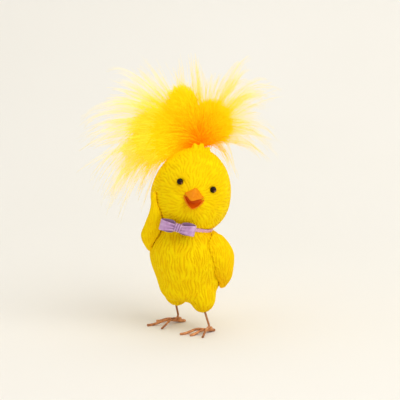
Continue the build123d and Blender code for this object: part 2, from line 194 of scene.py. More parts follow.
def mix_colours(tree, factor, a, b, blend="MIX"):
    """Colour socket of a mix; the factor and both colours may be a socket or a constant."""
    node = tree.nodes.new("ShaderNodeMix")
    node.data_type = "RGBA"
    node.blend_type = blend
    for socket, value in ((node.inputs[0], factor), (node.inputs[6], a), (node.inputs[7], b)):
        if isinstance(value, bpy.types.NodeSocket):
            tree.links.new(value, socket)
        elif isinstance(value, tuple):
            socket.default_value = (*value, 1)
        else:
            socket.default_value = value
    return node.outputs[2]


def bump(tree, shader, height, distance, strength):
    """Fine relief on the shader, with its distance in metres."""
    node = add_node(tree, "ShaderNodeBump", Strength=strength, Distance=distance)
    tree.links.new(height, node.inputs["Height"])
    tree.links.new(node.outputs["Normal"], shader.inputs["Normal"])


YELLOW = (0.93, 0.625, 0.0005)
YELLOW_PALE = (0.97, 0.735, 0.001)
# orange blush round the face, and painted shade under the head, in creases and low on the body
ORANGE_WASH_AND_SHADE = (0.90, 0.40, 0.001)
# painted shade in the grooves
GROOVE_SHADE = (0.82, 0.46, 0.0005)
BEAK_ORANGE = (0.83, 0.24, 0.004)
MOUTH_RED = (0.72, 0.11, 0.001)
GLASS_BROWN = (0.012, 0.005, 0.003)
COPPER = (0.55, 0.22, 0.08)
GLUE_ORANGE = (0.80, 0.25, 0.004)
EYE_HIGHLIGHT_REACH = 1.1  # mm that the painted highlight reaches over the bead
TOE_TOP = 0.002  # m over the floor, where the toes end and the painted shade on the legs begins
LEG_LOW = 0.006  # m over the floor, where the painted shade on the legs is full
FOLD_SHADE = 0.33  # of the ribbon's darker colour, painted as shade in the depth of a fold


def painted_resin():
    """Golden yellow paint, mottled where it is thin, with orange painted as shade in the grooves, and an
    orange wash that is partly blush and partly painted shade.
    """
    mat, tree, shader = material("painted_resin", YELLOW, roughness=0.6, specular=0.03)
    mottle = ramp(tree, noise_value(tree, scale=260, detail=4), [(0.35, YELLOW), (0.68, YELLOW_PALE)])
    # orange blush and painted shade where the wash lies
    washed_and_shaded = mix_colours(tree, attribute(tree, "wash_and_shade"), mottle, ORANGE_WASH_AND_SHADE)
    # painted shade in the grooves
    painted = mix_colours(tree, attribute(tree, "groove"), washed_and_shaded, GROOVE_SHADE)
    tree.links.new(painted, shader.inputs["Base Color"])
    bump(tree, shader, noise_value(tree, scale=2200, detail=3), distance=0.00008, strength=0.5)
    return mat


def beak_paint():
    """Mottled orange outside, and deep orange-red in the mouth."""
    mat, tree, shader = material("beak_paint", BEAK_ORANGE, roughness=0.4, specular=0.08)
    stops = [(0.3, (0.78, 0.21, 0.002)), (0.75, (0.86, 0.30, 0.004))]
    skin = ramp(tree, noise_value(tree, scale=900, detail=3), stops)
    painted = mix_colours(tree, attribute(tree, "mouth"), skin, MOUTH_RED)
    tree.links.new(painted, shader.inputs["Base Color"])
    bump(tree, shader, noise_value(tree, scale=2600, detail=2), distance=0.00005, strength=0.4)
    return mat


def eye_gloss(name, highlight_place):
    """Brown glass bead: nearly black, with a brown highlight painted at one place."""
    mat, tree, shader = material(name, GLASS_BROWN, roughness=0.12, specular=0.15)
    # painted highlight: brown-pink at its middle, near black beyond it
    distance = tree.nodes.new("ShaderNodeVectorMath")
    distance.operation = "DISTANCE"
    distance.inputs[1].default_value = tuple(highlight_place * MM)
    tree.links.new(object_place(tree), distance.inputs[0])
    spread = share_of_range(tree, distance.outputs["Value"], 0.0, EYE_HIGHLIGHT_REACH * MM)
    stops = [(0.1, (0.30, 0.14, 0.10)), (0.5, (0.07, 0.02, 0.008)), (1.0, (0.012, 0.004, 0.002))]
    cloud = noise_value(tree, scale=900, detail=2, output="Color")
    shade = mix_colours(tree, 0.25, ramp(tree, spread, stops), cloud, "MULTIPLY")
    tree.links.new(shade, shader.inputs["Base Color"])
    return mat


def copper():
    """Handled copper wire: brown tarnish with rubbed places, and the legs painted darker than the toes as
    shade.
    """
    mat, tree, shader = material("copper_wire", COPPER, roughness=0.45)
    tarnish = noise_value(tree, scale=420, detail=5, roughness=0.6)
    stops = [(0.32, (0.26, 0.09, 0.035)), (0.5, (0.58, 0.23, 0.085)), (0.7, (0.80, 0.38, 0.15))]
    colour = ramp(tree, tarnish, stops)
    # painted shade: darker from the toes up the legs
    split = tree.nodes.new("ShaderNodeSeparateXYZ")
    tree.links.new(object_place(tree), split.inputs[0])
    height = share_of_range(tree, split.outputs["Z"], TOE_TOP, LEG_LOW)
    leg_shade = ramp(tree, height, [(0.0, (1.0, 1.0, 1.0)), (1.0, (0.58, 0.55, 0.52))])
    tree.links.new(mix_colours(tree, 1.0, colour, leg_shade, "MULTIPLY"), shader.inputs["Base Color"])
    rough = ramp(tree, tarnish, [(0.3, (0.6, 0.6, 0.6)), (0.75, (0.36, 0.36, 0.36))])
    tree.links.new(rough, shader.inputs["Roughness"])
    shader.inputs["Metallic"].default_value = 0.45
    bump(tree, shader, noise_value(tree, scale=2400, detail=3), distance=0.00005, strength=0.5)
    return mat


def ribbon_cloth(name, dark, light):
    """Dyed ribbon with fine threads across it, and shade painted into its folds."""
    mat, tree, shader = material(name, light, roughness=0.6, specular=0.3)
    cloth = ramp(tree, noise_value(tree, scale=500, detail=4), [(0.3, dark), (0.7, light)])
    # painted shade in the folds
    shadow = tuple(c * FOLD_SHADE for c in dark)
    tree.links.new(mix_colours(tree, attribute(tree, "fold_shade"), cloth, shadow), shader.inputs["Base Color"])
    threads = add_node(tree, "ShaderNodeTexWave", Scale=900.0, Distortion=1.5, Detail=2.0)
    tree.links.new(object_place(tree), threads.inputs["Vector"])
    bump(tree, shader, threads.outputs["Fac"], distance=0.00004, strength=0.6)
    shader.inputs["Sheen Weight"].default_value = 0.15
    return mat


def glue():
    """Clear glue, stained by the dye of the down."""
    mat, tree, shader = material("dyed_glue", GLUE_ORANGE, roughness=0.35)
    stops = [(0.3, (0.70, 0.18, 0.003)), (0.7, (0.88, 0.34, 0.006))]
    tree.links.new(ramp(tree, noise_value(tree, scale=900, detail=3), stops), shader.inputs["Base Color"])
    return mat


DOWN_PAINTED_GLOW = 0.3  # painted glow, which stands for the light that fine down passes on from fibre to fibre
# Down, from the dyed root to the bleached tips
DOWN_COLOURS = [
    (1.00, 0.29, 0.001),
    (1.00, 0.39, 0.001),
    (1.00, 0.51, 0.002),
    (1.00, 0.61, 0.003),
    (1.00, 0.69, 0.006),
    (1.00, 0.75, 0.04),
    (1.00, 0.80, 0.17),
    (1.00, 0.85, 0.38),
]


def down_materials():
    """One material for each of the down's colours, in their order, each with a painted glow."""
    mats = []
    for i, colour in enumerate(DOWN_COLOURS):
        mat, _, shader = material(f"down_{i}", colour, roughness=0.9, specular=0.05)
        shader.inputs["Emission Color"].default_value = (*colour, 1)
        shader.inputs["Emission Strength"].default_value = DOWN_PAINTED_GLOW
        mats.append(mat)
    return mats


# ---------------------------------------------------------------- mesh helpers
def new_object(name, mesh):
    obj = bpy.data.objects.new(name, mesh)
    bpy.context.scene.collection.objects.link(obj)
    return obj


def placed(points, origin, first, second, third):
    """From steps along three axes to the frame's millimetres."""
    points = np.asarray(points, float)
    return origin + points[..., :1] * first + points[..., 1:2] * second + points[..., 2:3] * third


def shade_smooth(mesh):
    mesh.polygons.foreach_set("use_smooth", np.ones(len(mesh.polygons), bool))


def mesh_from_arrays(name, verts, faces, slots=None):
    """Mesh in metres from points in mm, faces with the same number of sides, and a material slot for each."""
    mesh = bpy.data.meshes.new(name)
    verts = np.asarray(verts, np.float32) * MM
    faces = np.asarray(faces, np.int32)
    sides = faces.shape[1]
    mesh.vertices.add(len(verts))
    mesh.vertices.foreach_set("co", verts.ravel())
    mesh.loops.add(faces.size)
    mesh.loops.foreach_set("vertex_index", faces.ravel())
    mesh.polygons.add(len(faces))
    mesh.polygons.foreach_set("loop_start", np.arange(len(faces), dtype=np.int32) * sides)
    mesh.polygons.foreach_set("loop_total", np.full(len(faces), sides, np.int32))
    if slots is not None:
        mesh.polygons.foreach_set("material_index", np.asarray(slots, np.int32))
    shade_smooth(mesh)
    mesh.update(calc_edges=True)
    mesh.validate()
    return mesh


def float_attribute(mesh, name, values):
    """Writes a number for each of the mesh's points, for a material to read."""
    layer = mesh.attributes.new(name, "FLOAT", "POINT")
    layer.data.foreach_set("value", np.asarray(values, np.float32))


def apply_modifiers(obj):
    """Puts the shape that the object's modifiers give into its mesh."""
    depsgraph = bpy.context.evaluated_depsgraph_get()
    mesh = bpy.data.meshes.new_from_object(obj.evaluated_get(depsgraph))
    obj.modifiers.clear()
    obj.data = mesh


def remeshed(obj, voxel, smoothing):
    """Closed even mesh of the object, in its own units, with its creases softened."""
    remesh = obj.modifiers.new("remesh", "REMESH")
    remesh.mode = "VOXEL"
    remesh.voxel_size = voxel
    smooth = obj.modifiers.new("smooth", "SMOOTH")
    smooth.factor = 0.5
    smooth.iterations = smoothing
    apply_modifiers(obj)


def points_and_normals(mesh):
    """The mesh's points and their normals, as two arrays of rows."""
    count = len(mesh.vertices)
    points, normals = np.empty(count * 3, np.float32), np.empty(count * 3, np.float32)
    mesh.vertices.foreach_get("co", points)
    mesh.vertices.foreach_get("normal", normals)
    return points.reshape(-1, 3).astype(float), normals.reshape(-1, 3).astype(float)


def nearest_tree(points):
    """Search tree that finds the nearest of the points."""
    tree = KDTree(len(points))
    for i, p in enumerate(points):
        tree.insert(p, i)
    tree.balance()
    return tree


# ---------------------------------------------------------------- combed feather grooves
STROKE_STEP = 0.3  # mm between a stroke's points
STROKE_GAP = 0.92  # mm between strokes where they start
STROKE_CLOSEST = 0.55  # of that gap, where a stroke stops beside another
STROKE_STARTS = 0.12  # of the skin's points are tried as starts
STROKE_SHORTEST = 0.45  # of the longest stroke's length
STROKE_FEWEST = 8  # points in a stroke that is worth cutting
WANDERS = ((0.75, 0.22), (0.4, 0.8))  # how far strokes turn, in radians, and the noise's scale
GROOVE_HALF_WIDTH = 0.29
GROOVE_REACH = 1.0  # mm from a stroke, past which the skin isn't cut
GROOVE_RAISE = 0.25  # of a groove's depth that the skin between grooves is raised


def combed_strokes(points, normals, flow, longest, rng):
    """Evenly spaced strokes that follow a flow over the surface; returns points, directions and tapers."""
    tree = nearest_tree(points)
    cells = {}

    def cell(p):
        return tuple(int(math.floor(c / STROKE_GAP)) for c in p)

    def crowded(p, gap):
        """Whether a point of a finished stroke lies within the gap."""
        around = [(n - 1, n, n + 1) for n in cell(p)]
        for key in itertools.product(*around):
            for q in cells.get(key, ()):
                if (p[0] - q[0]) ** 2 + (p[1] - q[1]) ** 2 + (p[2] - q[2]) ** 2 < gap * gap:
                    return True
        return False

    def half_stroke(p, steps, sign):
        """Points and directions from p on, with the flow for sign 1 or against it for sign -1."""
        half = []
        for _ in range(steps):
            _, i, _ = tree.find(p)
            n = normals[i]
            p = p - n * np.dot(p - points[i], n)
            d = flow(p)
            turn = sum(size * noise.noise(Vector(p * waves)) for size, waves in WANDERS)
            d = d * math.cos(turn) + np.cross(n, d) * math.sin(turn)
            d = d - n * np.dot(d, n)
            size = np.linalg.norm(d)
            if size < 1e-6 or crowded(p, STROKE_GAP * STROKE_CLOSEST):
                break
            d = d / size
            half.append((p, d))
            p = p + d * STROKE_STEP * sign
        return half

    places, directions, tapers = [], [], []
    for seed in rng.permutation(len(points))[: int(len(points) * STROKE_STARTS)]:
        start = points[seed]
        if crowded(start, STROKE_GAP):
            continue
        length = longest * rng.uniform(STROKE_SHORTEST, 1.0)
        steps = int(length / 2 / STROKE_STEP)
        line = half_stroke(start, steps, -1)[::-1] + half_stroke(start, steps, 1)
        count = len(line)
        if count < STROKE_FEWEST:
            continue
        for k, (p, d) in enumerate(line):
            cells.setdefault(cell(p), []).append(p)
            places.append(p)
            directions.append(d)
            tapers.append(min(1.0, 0.25 + 4.0 * min(k, count - 1 - k) / count))
    return np.array(places), np.array(directions), np.array(tapers)


def comb(obj, flow, depth, longest, wash_and_shade, seed, groove_shade):
    """Cuts feather grooves into a casting's skin and records, for the paint, painted shade in the grooves and
    the orange wash, which is partly painted shade.
    """
    rng = np.random.default_rng(seed)
    mesh = obj.data
    points, normals = points_and_normals(mesh)
    places, directions, tapers = combed_strokes(points, normals, flow, longest, rng)
    tree = nearest_tree(places)
    groove = np.zeros(len(points))
    for k, p in enumerate(points):
        _, i, far = tree.find(p)
        if far > GROOVE_REACH:
            continue
        along = np.dot(p - places[i], directions[i])
        across = max(far * far - along * along, 0.0)
        beyond = max(abs(along) - STROKE_STEP, 0.0)
        groove[k] = tapers[i] * math.exp(-(across + beyond * beyond) / GROOVE_HALF_WIDTH**2)
    moved = points + normals * (depth * (GROOVE_RAISE - groove))[:, None]
    mesh.vertices.foreach_set("co", moved.astype(np.float32).ravel())
    mesh.update()
    # painted shade in the grooves
    float_attribute(mesh, "groove", np.clip(groove * groove_shade, 0, 1))
    # orange blush and painted shade
    float_attribute(mesh, "wash_and_shade", np.clip(wash_and_shade(points), 0, 1))


SEAM_REACH = 2.6  # mm from the torso within which a wing's skin spreads
SEAM_SPREAD = 1.5  # mm that it spreads at most
SEAM_SMOOTHING = 12
SKIN_SMOOTHING = 5


def surface_tree(obj):
    """Search tree of an object's surface in mm."""
    mesh = obj.data
    return BVHTree.FromPolygons([v.co / MM for v in mesh.vertices], [p.vertices for p in mesh.polygons])


def flare(obj, onto):
    """Spreads a casting's skin along the surface that it meets, as glue and paint fill the seam."""
    points, normals = points_and_normals(obj.data)
    for k, p in enumerate(points):
        found, out, _, far = onto.find_nearest(Vector(p), SEAM_REACH)
        if found is None:
            continue
        along = normals[k] - np.array(out) * np.dot(normals[k], out)
        points[k] = p + along * SEAM_SPREAD * (1 - far / SEAM_REACH) ** 2
    obj.data.vertices.foreach_set("co", points.astype(np.float32).ravel())
    obj.data.update()


def casting_skin(name, node, flow, wash_and_shade, seed, onto=None, *, coarse, fine, softening, depth, longest, groove_shade):
    """Sculpted skin over a casting: softened, combed and painted.

    Coarse and fine are voxels, depth is the grooves' and longest is a stroke's, all in mm. The last one is
    how far the painted shade in the grooves covers. A skin that lies onto a surface spreads along it.
    """
    source = frame["nodes"][node]
    mesh = source.data.copy()
    mesh.transform(Matrix.Scale(1 / MM, 4))
    obj = new_object(name, mesh)
    remeshed(obj, coarse, softening)
    if onto:
        flare(obj, onto)
    voxel = fine
    remeshed(obj, voxel, SEAM_SMOOTHING if onto else SKIN_SMOOTHING)
    comb(obj, flow, depth, longest, wash_and_shade, seed, groove_shade)
    obj.data.transform(Matrix.Scale(MM, 4))
    shade_smooth(obj.data)
    obj.data.materials.clear()
    obj.data.materials.append(resin)
    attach(obj, "figure")
    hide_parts(node)
    return obj


def near(points, centre, radius):
    """1 at the centre, fading to 0 at the radius."""
    distance = np.linalg.norm(points - centre, axis=1)
    return np.clip(1 - distance / radius, 0, 1) ** 1.5


def torso_flow(p):
    """Down, and a little away from the torso's middle."""
    out = p - torso_centre
    out[2] = 0
    return np.array((0.0, 0.0, -1.0)) + 0.045 * out


def head_flow(p):
    """Away from the beak on the face, and down the neck behind."""
    behind = np.clip(-np.dot(p - head_centre, face_out) / 12.0, 0, 1)
    return unit(p - beak_centre) * (1 - behind) - head_axis * behind


def wing_flow(high, low):
    """The same way all over a wing, from its shoulder to its hand."""
    direction = unit(low - high)
    return lambda p: direction


def head_blush_and_shade(points):
    """Orange round the eyes, the beak and the crest's root: partly blush, partly painted shade round them."""
    right = near(points, bead_centre("right_eye"), radius=5.5)
    left = near(points, bead_centre("left_eye"), radius=4.5)
    beak = near(points, beak_centre, radius=8.0)
    crest = near(points, tuft_pivot, radius=9.0)
    return 0.65 * (right + left) + 0.4 * beak + 0.6 * crest


def torso_painted_shade(points):
    """Painted shade: orange low on the thighs, and round the neck under the head."""
    low = np.clip((14.0 - points[:, 2]) / 9.0, 0, 1)
    neck = np.clip(1 - np.abs((points - neck_centre) @ head_axis) / 4.0, 0, 1)
    return 0.22 * low + 0.35 * neck


def wing_tint_and_shade(points):
    """A faint orange tint all over, with painted shade towards the hand of the folded wing and in the crook
    of the raised one.
    """
    hand = near(points, folded_hand, radius=12.0)
    crook = near(points, raised_elbow, radius=6.0)
    return 0.12 + 0.55 * hand + 0.3 * crook


resin = painted_resin()
copper_paint = copper()
glue_paint = glue()
beak_skin = beak_paint()
lilac = ribbon_cloth("ribbon_lilac", dark=(0.45, 0.22, 0.49), light=(0.70, 0.46, 0.72))
pink = ribbon_cloth("ribbon_pink", dark=(0.68, 0.35, 0.55), light=(0.82, 0.50, 0.68))
raised_middle = box_centre("raised_wing")
folded_middle = box_centre("folded_wing")
raised_elbow = raised_middle - 11 * up
folded_hand = folded_middle - 10 * up
arm_up = wing_flow(raised_middle + 10 * up, raised_middle + np.array((-3, 2, -10)))
arm_down = wing_flow(folded_middle + np.array((-3, -1, 10)), folded_hand)
torso = casting_skin(
    "torso_skin",
    "torso_casting",
    torso_flow,
    torso_painted_shade,
    SEED,
    coarse=0.8,
    fine=0.27,
    softening=22,
    depth=0.40,
    longest=11.0,
    groove_shade=0.65,
)
casting_skin(
    "head_skin",
    "head_casting",
    head_flow,
    head_blush_and_shade,
    SEED + 1,
    coarse=0.5,
    fine=0.25,
    softening=5,
    depth=0.27,
    longest=9.0,
    groove_shade=0.5,
)
seam = surface_tree(torso)
casting_skin(
    "raised_wing_skin",
    "raised_wing",
    arm_up,
    wing_tint_and_shade,
    SEED + 2,
    seam,
    coarse=0.4,
    fine=0.2,
    softening=6,
    depth=0.14,
    longest=9.0,
    groove_shade=0.4,
)
casting_skin(
    "folded_wing_skin",
    "folded_wing",
    arm_down,
    wing_tint_and_shade,
    SEED + 3,
    seam,
    coarse=0.4,
    fine=0.2,
    softening=6,
    depth=0.32,
    longest=10.0,
    groove_shade=0.6,
)


# ---------------------------------------------------------------- wires
def repaint(mat, *nodes):
    """Gives CAD nodes that keep their shape a material."""
    for node in nodes:
        mesh = frame["nodes"][node].data
        mesh.materials.clear()
        mesh.materials.append(mat)


for side in ("left", "right"):
    repaint(copper_paint, f"{side}_leg_wire", f"{side}_foot_wire", f"{side}_ankle_solder")
    repaint(eye_gloss(f"{side}_eye_glass", painted_highlight_of(f"{side}_eye")), f"{side}_eye")
repaint(glue_paint, "tuft_binding", "quill_bundle")


# ---------------------------------------------------------------- beak
BEAK_SMOOTHING = 2
BEAK_ROOT = 15.8  # mm from the head's centre, where the beak leaves the face
# Along each half of the beak, in mm: distance beyond the root, height of its edge, half width, height of its
# ridge or keel, and for the upper half how far it bends aside
UPPER_HALF = [
    (-2.2, 0.1, 4.4, 3.6, 0.0),
    (-0.2, 0.0, 5.1, 3.9, 0.0),
    (1.4, -0.1, 4.6, 3.4, -0.2),
    (3.2, -0.5, 2.9, 2.3, -0.6),
    (4.6, -1.0, 1.3, 1.2, -1.0),
    (5.4, -1.4, 0.4, 0.5, -1.2),
]
LOWER_HALF = [
    (-1.6, 0.3, 4.4, 2.6),
    (0.0, 0.2, 5.0, 3.6),
    (1.6, -1.2, 4.2, 3.1),
    (3.0, -2.7, 2.9, 2.1),
    (4.0, -3.7, 1.7, 1.2),
    (4.5, -4.2, 0.5, 0.5),
]
# Round each half: share of the half width, share of the ridge or keel, and how deep in the mouth the place is
ROOF = [
    (-1, 0, 0),
    (-0.55, 0.42, 0),
    (-0.12, 0.97, 0),
    (0.12, 0.97, 0),
    (0.55, 0.42, 0),
    (1, 0, 0),
    (0.45, 0.06, 1),
    (-0.45, 0.06, 1),
]
SCOOP = [
    (1, 0, 0),
    (0.86, -0.52, 0),
    (0.35, -0.96, 0),
    (-0.35, -0.96, 0),
    (-0.86, -0.52, 0),
    (-1, 0, 0),
    (-0.80, 0.0, 0.75),
    (-0.66, -0.38, 1),
    (-0.26, -0.62, 1),
    (0.26, -0.62, 1),
    (0.66, -0.38, 1),
    (0.80, 0.0, 0.75),
]
# The mouth's back wall, outwards from behind the face, in mm: distance beyond the root, half width and height
THROAT = [
    (-2.0, 4.0, 1.9),
    (0.9, 4.5, 2.2),
    (1.35, 3.6, 1.7),
    (1.5, 1.4, 0.6),
]
THROAT_LEVEL = -1.7
THROAT_SIDES = 10


def lofted(name, rings, marks, node):
    """Closed smooth piece of the beak through rings of points, capped at both ends.

    The points are steps to the head's own left, out of its face and to its crown. Each has a mark, which says
    how deep in the mouth it is.
    """
    rings = np.asarray(rings, float)
    count, around, _ = rings.shape
    index = np.arange(count * around).reshape(count, around)
    bm = bmesh.new()
    layer = bm.verts.layers.float.new("mouth")
    places = placed(rings.reshape(-1, 3), head_centre, face_left, face_out, head_axis)
    verts = [bm.verts.new(Vector(p * MM)) for p in places]
    for vert, mark in zip(verts, np.asarray(marks).ravel()):
        vert[layer] = mark
    for k in range(count - 1):
        for m in range(around):
            n = (m + 1) % around
            bm.faces.new([verts[i] for i in (index[k, m], index[k, n], index[k + 1, n], index[k + 1, m])])
    bm.faces.new([verts[i] for i in index[0, ::-1]])
    bm.faces.new([verts[i] for i in index[-1]])
    bmesh.ops.recalc_face_normals(bm, faces=bm.faces)
    mesh = bpy.data.meshes.new(name)
    bm.to_mesh(mesh)
    bm.free()
    obj = new_object(name, mesh)
    surface = obj.modifiers.new("smooth", "SUBSURF")
    surface.levels = BEAK_SMOOTHING
    surface.render_levels = BEAK_SMOOTHING
    apply_modifiers(obj)
    shade_smooth(obj.data)
    obj.data.materials.append(beak_skin)
    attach(obj, "figure")
    if node:
        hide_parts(node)


def half_ring(profile, out, edge, half, high, aside=0.0):
    """One ring of a half of the beak, at a place along it."""
    return [(x * half + aside, BEAK_ROOT + out, edge + z * high) for x, z, _ in profile]


def throat_ring(out, half, high):
    turns = [2 * math.pi * k / THROAT_SIDES for k in range(THROAT_SIDES)]
    return [(half * math.cos(a), BEAK_ROOT + out, THROAT_LEVEL + high * math.sin(a)) for a in turns]


for name, profile, places, node in (
    ("upper_beak_shell", ROOF, UPPER_HALF, "upper_beak"),
    ("lower_beak_scoop", SCOOP, LOWER_HALF, "lower_beak"),
):
    marks = [[mark for _, _, mark in profile]] * len(places)
    lofted(name, [half_ring(profile, *place) for place in places], marks, node)
lofted("throat", [throat_ring(*place) for place in THROAT], np.ones((len(THROAT), THROAT_SIDES)), None)


# ---------------------------------------------------------------- ribbon and bow
bow_out = square_to_axis(box_centre("bow_loops") - neck_centre)
bow_right = np.cross(bow_out, head_axis)
BOW_MIDDLE = 16.3  # mm from the neck's axis to the middle of the loops
BOW_SWEEP = 0.11  # how much each mm along the bow leans back round the neck
# Along a loop, out along the front, round its end and back behind, in mm: along from the knot, out from the
# middle, half height, share of the loop's lift, depth of the gathers
LOOP_WAY = [
    (0.7, 0.55, 1.30, 0.0, 0.30),
    (2.0, 1.15, 1.50, 0.1, 0.28),
    (4.2, 1.55, 1.85, 0.5, 0.12),
    (6.4, 1.35, 2.15, 0.9, 0.04),
    (7.6, 0.20, 2.25, 1.0, 0.0),
    (6.6, -0.95, 2.50, 1.0, 0.0),
    (4.2, -1.15, 2.75, 0.7, 0.06),
    (2.0, -0.85, 2.45, 0.3, 0.15),
    (0.7, -0.40, 1.35, 0.0, 0.25),
]
LOOP_GATHERS = 2.6  # half turns of the gathers' wave across half a loop
DEEPEST_GATHER = 0.3
# Round the knot, in mm: out from the bow's middle, and up
KNOT_ROUND = [(1.5, 0), (1.2, 1.3), (0, 1.75), (-1.2, 1.3), (-1.4, 0), (-1.2, -1.3), (0, -1.75), (1.2, -1.3)]
KNOT_HALF = 1.75
KNOT_ASIDE = -0.4
KNOT_GATHERS = 3.5
RIBBON_RADIUS = 12.5
RIBBON_HALF = 0.78
LOOP_CLOTH = 0.3  # mm thick
KNOT_CLOTH = 0.25
RIBBON_CLOTH = 0.22


def cloth_band(name, grid, node, mat, thickness, fold_shades, closed):
    """Thin band of cloth, which may close on itself.

    The grid is (steps along, points across, 3), in mm to the chick's right, out from the neck and up.
    """
    steps, across, _ = grid.shape
    index = np.arange(steps * across).reshape(steps, across)
    first, second = (index, np.roll(index, -1, axis=0)) if closed else (index[:-1], index[1:])
    faces = np.stack([first[:, :-1], first[:, 1:], second[:, 1:], second[:, :-1]], -1).reshape(-1, 4)
    points = placed(grid.reshape(-1, 3), neck_centre, bow_right, bow_out, head_axis)
    mesh = mesh_from_arrays(name, points, faces)
    # painted shade in the folds, for the material
    float_attribute(mesh, "fold_shade", np.clip(fold_shades.ravel(), 0, 1))
    obj = new_object(name, mesh)
    solid = obj.modifiers.new("cloth", "SOLIDIFY")
    solid.thickness = thickness * MM
    solid.offset = 0
    surface = obj.modifiers.new("soft", "SUBSURF")
    surface.levels = 1
    surface.render_levels = 1
    apply_modifiers(obj)
    shade_smooth(obj.data)
    obj.data.materials.append(mat)
    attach(obj, "collar")
    if node:
        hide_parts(node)


def smooth_path(points, count, closed=False):
    """Catmull-Rom curve through points, sampled evenly in its parameter."""
    points = np.asarray(points, float)
    n = len(points)
    spans = n if closed else n - 1
    out = []
    for t in np.linspace(0, spans, count, endpoint=not closed):
        k = min(int(t), spans - 1)
        f = t - k
        ids = [(k + j) % n if closed else min(max(k + j, 0), n - 1) for j in (-1, 0, 1, 2)]
        a, b, c, d = points[ids]
        bend = 2 * a - 5 * b + 4 * c - d
        twist = 3 * b - a - 3 * c + d
        out.append(0.5 * (2 * b + (c - a) * f + bend * f**2 + twist * f**3))
    return np.array(out)


def bow_loop(name, sign, reach, lift, node):
    """One loop, gathered at the knot: to the chick's right for sign 1, and to its left for sign -1."""
    path = smooth_path(LOOP_WAY, 54)
    across = np.linspace(-1, 1, 13)
    grid = np.zeros((len(path), len(across), 3))
    fold_shades = np.zeros((len(path), len(across)))
    for k, (along, out, half, rise, gather) in enumerate(path):
        behind = out < 0
        for m, v in enumerate(across):
            wave = math.cos(v * LOOP_GATHERS * math.pi + 0.6 * sign)
            away = BOW_MIDDLE + out - BOW_SWEEP * along + gather * wave
            grid[k, m] = (sign * along * reach, away, lift * rise + v * half)
            # painted shade in the gathers' hollows and over the loop's back panel
            fold_shades[k, m] = 0.5 * gather / DEEPEST_GATHER * (0.5 - 0.5 * wave) + 0.6 * behind
    cloth_band(name, grid, node, lilac, LOOP_CLOTH, fold_shades, closed=False)


def knot():
    """Band round the bow's middle with four gathers."""
    ring = smooth_path(KNOT_ROUND, 32, True)
    across = np.linspace(-1, 1, 25)
    grid = np.zeros((len(ring), len(across), 3))
    fold_shades = np.zeros((len(ring), len(across)))
    for k, (out, high) in enumerate(ring):
        for m, v in enumerate(across):
            gather = math.cos(v * KNOT_GATHERS * math.pi)
            swell = 1 + 0.13 * gather - 0.22 * abs(v) ** 3
            aside = KNOT_ASIDE + v * KNOT_HALF - 0.1 * high
            grid[k, m] = (aside, BOW_MIDDLE + out * swell, 0.1 + high * (0.93 + 0.07 * gather))
            # painted shade over the knot, deepest in the hollows of its gathers
            fold_shades[k, m] = 0.15 + 0.8 * max(0.0, -gather) ** 1.2
    cloth_band("bow_knot_wrap", grid, "bow_knot", lilac, KNOT_CLOTH, fold_shades, closed=True)


def neck_band():
    """Ribbon round the neck, lying a little unevenly in its groove."""
    turns = np.linspace(0, 2 * math.pi, 160, endpoint=False)
    across = np.linspace(-1, 1, 7)
    grid = np.zeros((len(turns), len(across), 3))
    for k, a in enumerate(turns):
        wander = 0.3 + 0.08 * math.sin(3 * a + 1) + 0.05 * math.sin(7 * a)
        for m, v in enumerate(across):
            radius = RIBBON_RADIUS + 0.12 * (1 - v * v)
            grid[k, m] = (radius * math.sin(a), radius * math.cos(a), wander + v * RIBBON_HALF)
    unfolded = np.zeros((len(turns), len(across)))
    cloth_band("neck_ribbon_band", grid, "neck_ribbon", pink, RIBBON_CLOTH, unfolded, closed=True)


bow_loop("bow_right_loop", 1, 0.95, -0.5, "bow_loops")
bow_loop("bow_left_loop", -1, 0.96, 0.5, None)
knot()
neck_band()


# ---------------------------------------------------------------- marabou down
FIBRE_SIDES = 3
FIBRE_SIDEWAYS = np.array((0.31, 0.52, 0.79))  # a way that hardly any fibre runs


def tubes(lines, radii, shades):
    """Closed thin tubes along lines (count, points, 3), with a radius and a shade for every point."""
    count, steps, _ = lines.shape
    tangent = np.gradient(lines, axis=1)
    tangent /= np.linalg.norm(tangent, axis=2, keepdims=True) + 1e-9
    side = np.cross(tangent, FIBRE_SIDEWAYS)
    side /= np.linalg.norm(side, axis=2, keepdims=True) + 1e-9
    other = np.cross(tangent, side)
    rings = []
    for k in range(FIBRE_SIDES):
        angle = 2 * math.pi * k / FIBRE_SIDES
        rings.append(lines + (side * math.cos(angle) + other * math.sin(angle)) * radii[..., None])
    verts = np.stack(rings, axis=2)
    index = np.arange(count * steps * FIBRE_SIDES).reshape(count, steps, FIBRE_SIDES)
    a, b = index[:, :-1], index[:, 1:]
    a_next, b_next = np.roll(a, -1, axis=2), np.roll(b, -1, axis=2)
    walls = np.concatenate([np.stack([a, a_next, b_next], -1), np.stack([a, b_next, b], -1)], axis=2)
    wall_shades = np.repeat(shades[:, :-1, None], 2 * FIBRE_SIDES, axis=2)
    caps = np.concatenate([index[:, 0, ::-1], index[:, -1]])
    cap_shades = np.concatenate([shades[:, 0], shades[:, -1]])
    faces = np.concatenate([walls.reshape(-1, 3), caps])
    return verts.reshape(-1, 3), faces, np.concatenate([wall_shades.ravel(), cap_shades])


def bezier(a, b, c, d, t):
    """Cubic curves through arrays of control points, (count, 3) each, at the places t."""
    t = t[None, :, None]
    a, b, c, d = (p[:, None, :] for p in (a, b, c, d))
    return a * (1 - t) ** 3 + 3 * b * t * (1 - t) ** 2 + 3 * c * t * t * (1 - t) + d * t**3


